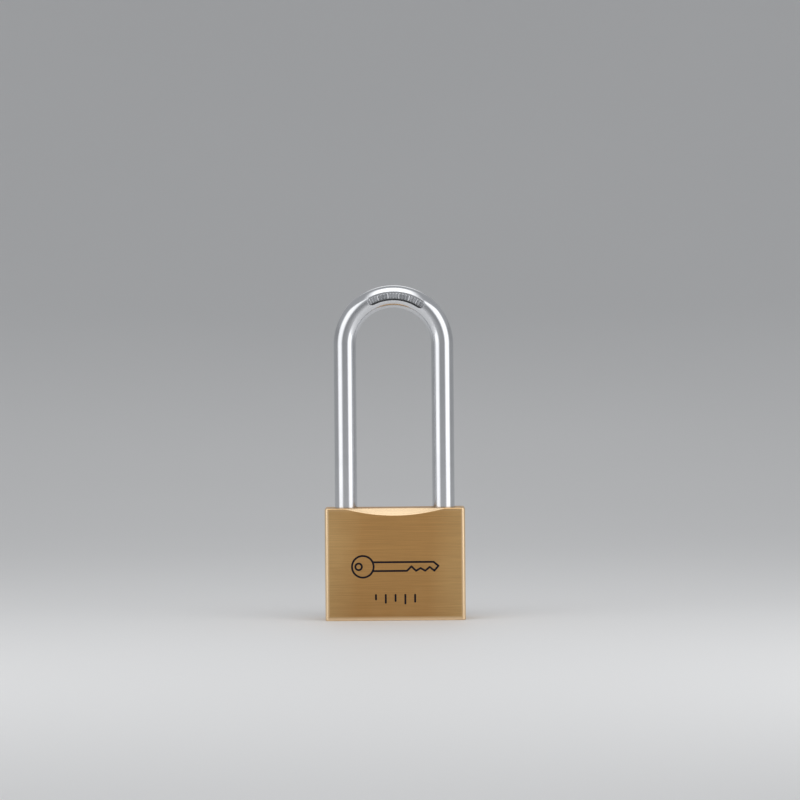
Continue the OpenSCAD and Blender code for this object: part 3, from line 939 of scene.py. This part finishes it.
# Corners of the keyway in millimetres, seen from above.
KEYWAY = [
    (-0.95, -4.2), (0.75, -4.2), (0.75, -2.9), (0.1, -2.4), (0.1, -1.2), (0.95, -0.6),
    (0.95, 0.7), (0.35, 1.2), (0.35, 2.3), (0.85, 2.7), (0.85, 3.3), (-0.85, 3.3),
    (-0.85, 1.6), (-0.35, 1.1), (-0.35, 0.1), (-0.95, -0.5)]
KEYWAY_DEPTH = 16.4 * MM
PLUG_RIM_R = 0.3 * MM
PLUG_LIP_R = 0.06 * MM  # rounding of the keyway's edge
GROOVE_FIT = 0.1 * MM
GROOVE_DEPTH = 0.6 * MM
CHAMBER_START = -1.3 * MM
CAM_SLOT = (1.6 * MM, 12 * MM, 1 * MM)  # width, length and depth


class PADLOCK_OT_plug(bpy.types.Operator):
    """Models the plug: turned face, profiled keyway, pin chambers, groove and cam slot"""

    bl_idname = "padlock.plug"
    bl_label = "Plug"

    def execute(self, context):
        low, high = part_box("plug")
        plug = rod("plug_core", "Z", (0, 0, low.z), high.z - low.z, high.x, 128)
        finish(plug, "plug")
        bevel_edges(plug, lambda e: bend_of(e) > 1.0, PLUG_RIM_R, 4)
        keyway = plate("keyway", [(x * MM, y * MM) for x, y in KEYWAY], (0, 0, KEYWAY_DEPTH + OVER),
                       lambda x, y: (x, y, -OVER))
        cut(plug, keyway, inside=FINISHES["plug"])
        for index in range(1, 6):
            key_low, key_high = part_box(f"key_pin_{index}")
            z = (key_low.z + key_high.z) / 2
            radius = (key_high.z - key_low.z) / 2 + PIN_FIT
            cut(plug, rod("chamber", "Y", (0, CHAMBER_START, z), 8 * MM, radius, 48),
                inside=FINISHES["plug"])
        pin_low, pin_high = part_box("plug_retaining_pin")
        groove_h = pin_high.z - pin_low.z + 2 * GROOVE_FIT
        groove = rod("groove", "Z", (0, 0, pin_low.z - GROOVE_FIT), groove_h, high.x + OVER, 96)
        cut(groove, rod("groove_core", "Z", (0, 0, 10 * MM), 20 * MM, high.x - GROOVE_DEPTH, 96))
        slot_w, slot_l, slot_d = CAM_SLOT
        slot = block("cam_slot", (-slot_w / 2, -slot_l / 2, high.z - slot_d),
                     (slot_w / 2, slot_l / 2, high.z + OVER))
        cut(plug, groove, slot, inside=FINISHES["plug"])
        bevel_edges(plug, lambda e: middle(e).z < low.z + 1e-6 and bend_of(e) > 1.0, PLUG_LIP_R, 2)
        tidy_mesh(plug)
        smooth(plug, 24)
        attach(plug, "plug")
        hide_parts("plug")
        return {"FINISHED"}


# ------------------------------------------------------------------ pins, fillers and springs


def turned_end(piece, axis, side, width):
    """Rounds the rim at one end of a rod."""
    ends = [vertex.co[axis] for vertex in piece.data.vertices]
    end = max(ends) if side > 0 else min(ends)
    bevel_edges(piece, lambda e: (
        abs(middle(e)[axis] - end) < 1e-6 and bend_of(e) > 1.0), width, 3)


def axis_rod(name, node, axis, segments=48):
    """A rod that fills the box of a CAD node, along the named axis."""
    low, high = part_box(node)
    index = "XYZ".index(axis)
    centre = (low + high) / 2
    foot = centre.copy()
    foot[index] = low[index]
    across = (index + 1) % 3 if axis != "Y" else 2
    return rod(name, axis, foot, high[index] - low[index], (high[across] - low[across]) / 2, segments)


class PADLOCK_OT_pins(bpy.types.Operator):
    """Models the key pins, the driver pins, the two cross pins and the fillers"""

    bl_idname = "padlock.pins"
    bl_label = "Pins and fillers"

    def execute(self, context):
        for index in range(1, 6):
            self.key_pin(index)
            self.driver_pin(index)
        for node, name in (("shackle_stop_pin", "stop_pin"), ("plug_retaining_pin", "core_pin")):
            pin = axis_rod(name, node, "Y")
            turned_end(pin, 1, 1, 0.1 * MM)
            turned_end(pin, 1, -1, 0.2 * MM)
            self.done(pin, name, node, "lock_body", "pin_brass")
        filler = axis_rod("channel_filler", "latch_channel_filler", "X", 96)
        turned_end(filler, 0, 1, 0.1 * MM)
        self.done(filler, "channel_filler", "latch_channel_filler", "lock_body", "pin_brass")
        self.chamber_fillers()
        return {"FINISHED"}

    def done(self, piece, name, node, body, slot):
        if slot == "driver_steel":
            finish(piece, "nickel")
        elif not piece.data.materials:
            self.turn(piece, name)
        smooth(piece, 30)
        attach(piece, body)
        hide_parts(node)

    def turn(self, piece, name):
        """Brass with tool rings about the piece's own middle."""
        brass = tuple(bpy.context.scene.padlock_inside.turned_brass)
        places = [vertex.co for vertex in piece.data.vertices]
        centre = [(min(p[i] for p in places) + max(p[i] for p in places)) / 2 for i in range(3)]
        piece.data.materials.append(turned_brass(f"{name}_brass", brass, centre, 0.24))

    def key_pin(self, index):
        node = f"key_pin_{index}"
        pin = axis_rod(f"keypin_{index}", node, "Y")
        turned_end(pin, 1, 1, 0.12 * MM)
        turned_end(pin, 1, -1, 0.6 * MM)
        self.done(pin, f"keypin_{index}", node, node, "pin_brass")

    def driver_pin(self, index):
        node = f"driver_pin_{index}"
        pin = axis_rod(f"driver_{index}", node, "X")
        turned_end(pin, 0, 1, 0.12 * MM)
        turned_end(pin, 0, -1, 0.25 * MM)
        self.done(pin, f"driver_{index}", node, node, "driver_steel")

    def chamber_fillers(self):
        """One filler is modelled and copied down the row, and the five are joined."""
        low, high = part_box("pin_chamber_fillers")
        stacks = [sum((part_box(f"driver_pin_{i}")[end].z for end in (0, 1))) / 2 for i in range(1, 6)]
        radius = (high.y - low.y) / 2
        first = rod("chamber_fillers", "X", (low.x, 0, stacks[0]), high.x - low.x, radius, 48)
        turned_end(first, 0, 1, 0.08 * MM)
        copies = []
        for z in stacks[1:]:
            copy = first.copy()
            copy.data = first.data.copy()
            bpy.context.collection.objects.link(copy)
            for vertex in copy.data.vertices:
                vertex.co.z += z - stacks[0]
            copies.append(copy)
        for index, piece in enumerate((first, *copies), 1):
            self.turn(piece, f"chamber_filler_{index}")
        alone(first, *copies)
        bpy.ops.object.join()
        self.done(first, "chamber_fillers", "pin_chamber_fillers", "lock_body", "pin_brass")


def wire_coil(name, axis, foot, length, radius, wire, turns):
    """A compression spring with one close turn at each end, as a curve made a mesh."""
    steps = 24  # points in a turn
    close = 1.15 * wire  # climb of a closed end turn
    rise = (length - wire - 2 * close) / (turns - 2)
    curve = bpy.data.curves.new(name, "CURVE")
    curve.dimensions = "3D"
    curve.bevel_depth = wire / 2
    curve.bevel_resolution = 3
    curve.use_fill_caps = True
    spline = curve.splines.new("POLY")
    count = turns * steps + 1
    spline.points.add(count - 1)
    for index in range(count):
        turn = index / steps
        climb = (wire / 2 + min(turn, 1) * close + max(0, min(turn, turns - 1) - 1) * rise
                 + max(0, turn - turns + 1) * close)
        a, b = radius * math.cos(2 * math.pi * turn), radius * math.sin(2 * math.pi * turn)
        point = Vector(foot) + (Vector((climb, a, b)) if axis == "X" else Vector((a, b, climb)))
        spline.points[index].co = (*point, 1)
    coil = bpy.data.objects.new(name, curve)
    bpy.context.collection.objects.link(coil)
    alone(coil)
    bpy.ops.object.convert(target="MESH")
    coil = bpy.context.object
    coil.name = coil.data.name = name
    tidy_mesh(coil)
    finish(coil, "wire")
    smooth(coil, 60)
    return coil


SHACKLE_WIRE = 0.55 * MM
LATCH_WIRE = 0.3 * MM
PIN_WIRE = 0.26 * MM


class PADLOCK_OT_springs(bpy.types.Operator):
    """Winds the shackle spring, the latch spring and the five pin springs"""

    bl_idname = "padlock.springs"
    bl_label = "Springs"

    def execute(self, context):
        self.wind("shackle_lift_spring", "shackle_spring", "Z", SHACKLE_WIRE, 5)
        self.wind("latch_push_spring", "latch_spring", "X", LATCH_WIRE, 8)
        for index in range(1, 6):
            coil = self.wind(f"stack_spring_{index}", f"pin_spring_{index}", "X", PIN_WIRE, 7)
            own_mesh(coil)
        return {"FINISHED"}

    def wind(self, name, node, axis, wire, turns):
        low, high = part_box(node)
        index = "XYZ".index(axis)
        foot = (low + high) / 2
        foot[index] = low[index]
        outer = (high.z - low.z if axis == "X" else high.x - low.x) / 2
        coil = wire_coil(name, axis, foot, high[index] - low[index], outer - wire / 2, wire, turns)
        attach(coil, "lock_body")
        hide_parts(node)
        return coil


# ------------------------------------------------------------------ latches and cam


class PADLOCK_OT_latches(bpy.types.Operator):
    """Finishes the two latches and the cam: broken edges and machined steel"""

    bl_idname = "padlock.latches"
    bl_label = "Latches and cam"

    def execute(self, context):
        for node, name in (("latch_toe", "latch"), ("latch_heel", "latch"), ("plug_cam", "cam")):
            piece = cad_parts[node]
            finish(piece, name)
            weld = piece.modifiers.new("Weld", "WELD")
            weld.merge_threshold = 1e-6
            bevel = piece.modifiers.new("Broken edges", "BEVEL")
            bevel.width = 0.05 * MM
            bevel.segments = 2
            bevel.limit_method = "ANGLE"
            bevel.angle_limit = math.radians(35)
        return {"FINISHED"}


# ------------------------------------------------------------------ stage


class PADLOCK_OT_stage(bpy.types.Operator):
    """Sets the floor with its cove, the soft lights, the world and the camera"""

    bl_idname = "padlock.stage"
    bl_label = "Stage"

    def execute(self, context):
        sizes = context.scene.padlock_stage
        self.cove(sizes)
        self.lights()
        self.world(context.scene)
        self.camera(context.scene, sizes)
        return {"FINISHED"}

    def cove(self, sizes):
        """A round floor whose rim sweeps gently up all round, so that no horizon shows."""
        flat_r, turns, sweep, rise = 0.4, 24, 1.6, 0.75
        bpy.ops.object.select_all(action="DESELECT")
        bpy.ops.mesh.primitive_circle_add(vertices=128, radius=flat_r, fill_type="NGON")
        floor = place_applied("cove")
        bpy.ops.object.mode_set(mode="EDIT")
        bpy.ops.mesh.select_mode(type="EDGE")
        bpy.ops.mesh.select_all(action="SELECT")
        bpy.ops.mesh.region_to_loop()
        for step in range(turns):
            low, high = (math.pi / 2 * s / turns for s in (step, step + 1))
            share = (flat_r + sweep * math.sin(high)) / (flat_r + sweep * math.sin(low))
            bpy.ops.mesh.extrude_edges_move(TRANSFORM_OT_translate={
                "value": (0, 0, rise * (math.cos(low) - math.cos(high)))})
            bpy.ops.transform.resize(value=(share, share, 1), center_override=(0, 0, 0))
        bpy.ops.object.mode_set(mode="OBJECT")
        for polygon in floor.data.polygons:
            polygon.use_smooth = len(polygon.vertices) == 4
        floor.data.materials.append(floor_paper(tuple(sizes.floor)))

    def lights(self):
        """Wide soft boxes left and right of the camera, a broad one above and one behind."""
        aim = Vector((0, 0, 0.055))
        # name, azimuth, elevation, distance, width, height, brightness, fade up and down
        boxes = (
            ("left_box", -53, 19, 0.33, 0.37, 0.35, 1.0, 0.05),
            ("right_box", 52, 19, 0.33, 0.39, 0.35, 1.18, 0.05),
            ("top_box", 0, 70, 0.85, 0.95, 1.15, 1.35, 0.22),
            ("back_box", 180, 35, 1.10, 0.80, 0.50, 0.8, 0.22))
        for name, azimuth, elevation, far, wide, high, brightness, fade in boxes:
            a, e = math.radians(azimuth), math.radians(elevation)
            back = Vector((math.sin(a) * math.cos(e), -math.cos(a) * math.cos(e), math.sin(e)))
            light = bpy.data.lights.new(name, "AREA")
            light.shape = "RECTANGLE"
            light.size, light.size_y = wide, high
            light.energy = brightness * math.pi * wide * high
            self.soften(light, fade)
            lamp = bpy.data.objects.new(name, light)
            lamp.location = aim + back * far
            lamp.rotation_euler = (-back).to_track_quat("-Z", "Y").to_euler()
            lamp.visible_camera = False
            bpy.context.collection.objects.link(lamp)

    def soften(self, light, high_fade):
        """Lets the box fade towards its edges, as cloth over a lamp does."""
        light.use_nodes = True
        tree = light.node_tree
        across = add(tree, "ShaderNodeNewGeometry").outputs["Parametric"]
        ends = add(tree, "ShaderNodeSeparateXYZ", {0: across}).outputs
        fade = 1.0
        for end, reach in zip(ends, (0.25, high_fade)):
            inward = math_node(tree, "MULTIPLY", end, math_node(tree, "SUBTRACT", 1.0, end))
            near = add(tree, "ShaderNodeMapRange", {
                "Value": inward, "From Min": 0.0, "From Max": reach},
                interpolation_type="SMOOTHSTEP").outputs[0]
            fade = math_node(tree, "MULTIPLY", fade, near)
        tree.links.new(fade, tree.nodes["Emission"].inputs["Strength"])

    def world(self, scene):
        world = bpy.data.worlds.new("soft_world")
        world.use_nodes = True
        scene.world = world
        background = world.node_tree.nodes["Background"]
        background.inputs["Color"].default_value = (0.95, 0.97, 1.0, 1)
        background.inputs["Strength"].default_value = 0.415
        scene.view_settings.view_transform = "Standard"

    def camera(self, scene, sizes):
        data = bpy.data.cameras.new("camera")
        data.lens = sizes.lens
        data.sensor_width = 36
        camera = bpy.data.objects.new("camera", data)
        camera.location = (sizes.aside, -sizes.distance, sizes.eye_height)
        camera.rotation_euler = (math.pi / 2, sizes.roll, 0)
        bpy.context.collection.objects.link(camera)
        scene.camera = camera


# ------------------------------------------------------------------ panel and running


class PADLOCK_PT_panel(bpy.types.Panel):
    """Lists the pieces and their sizes"""

    bl_idname = "PADLOCK_PT_panel"
    bl_label = "Padlock"
    bl_space_type = "VIEW_3D"
    bl_region_type = "UI"
    bl_category = "Padlock"

    def draw(self, context):
        layout = self.layout
        for group in SIZE_GROUPS:
            sizes = getattr(context.scene, group)
            box = layout.box()
            for name in sizes.__annotations__:
                box.prop(sizes, name)
        for operator in OPERATORS:
            layout.operator(operator.bl_idname)


SIZE_GROUPS = {
    "padlock_body": PadlockBodySizes,
    "padlock_shackle": PadlockShackleSizes,
    "padlock_inside": PadlockInsideSizes,
    "padlock_stage": PadlockStageSizes,
}
OPERATORS = (
    PADLOCK_OT_finishes, PADLOCK_OT_body, PADLOCK_OT_shackle, PADLOCK_OT_plug, PADLOCK_OT_pins,
    PADLOCK_OT_springs, PADLOCK_OT_latches, PADLOCK_OT_stage)


def register():
    for group in SIZE_GROUPS.values():
        bpy.utils.register_class(group)
    for operator in OPERATORS:
        bpy.utils.register_class(operator)
    bpy.utils.register_class(PADLOCK_PT_panel)
    for name, group in SIZE_GROUPS.items():
        setattr(bpy.types.Scene, name, PointerProperty(type=group))


def unregister():
    for name in SIZE_GROUPS:
        delattr(bpy.types.Scene, name)
    bpy.utils.unregister_class(PADLOCK_PT_panel)
    for operator in reversed(OPERATORS):
        bpy.utils.unregister_class(operator)
    for group in reversed(SIZE_GROUPS.values()):
        bpy.utils.unregister_class(group)


def main():
    register()
    bpy.ops.padlock.finishes()
    bpy.ops.padlock.body()
    bpy.ops.padlock.shackle()
    bpy.ops.padlock.plug()
    bpy.ops.padlock.pins()
    bpy.ops.padlock.springs()
    bpy.ops.padlock.latches()
    bpy.ops.padlock.stage()
    bpy.ops.object.select_all(action="DESELECT")


if __name__ == "__main__":
    main()
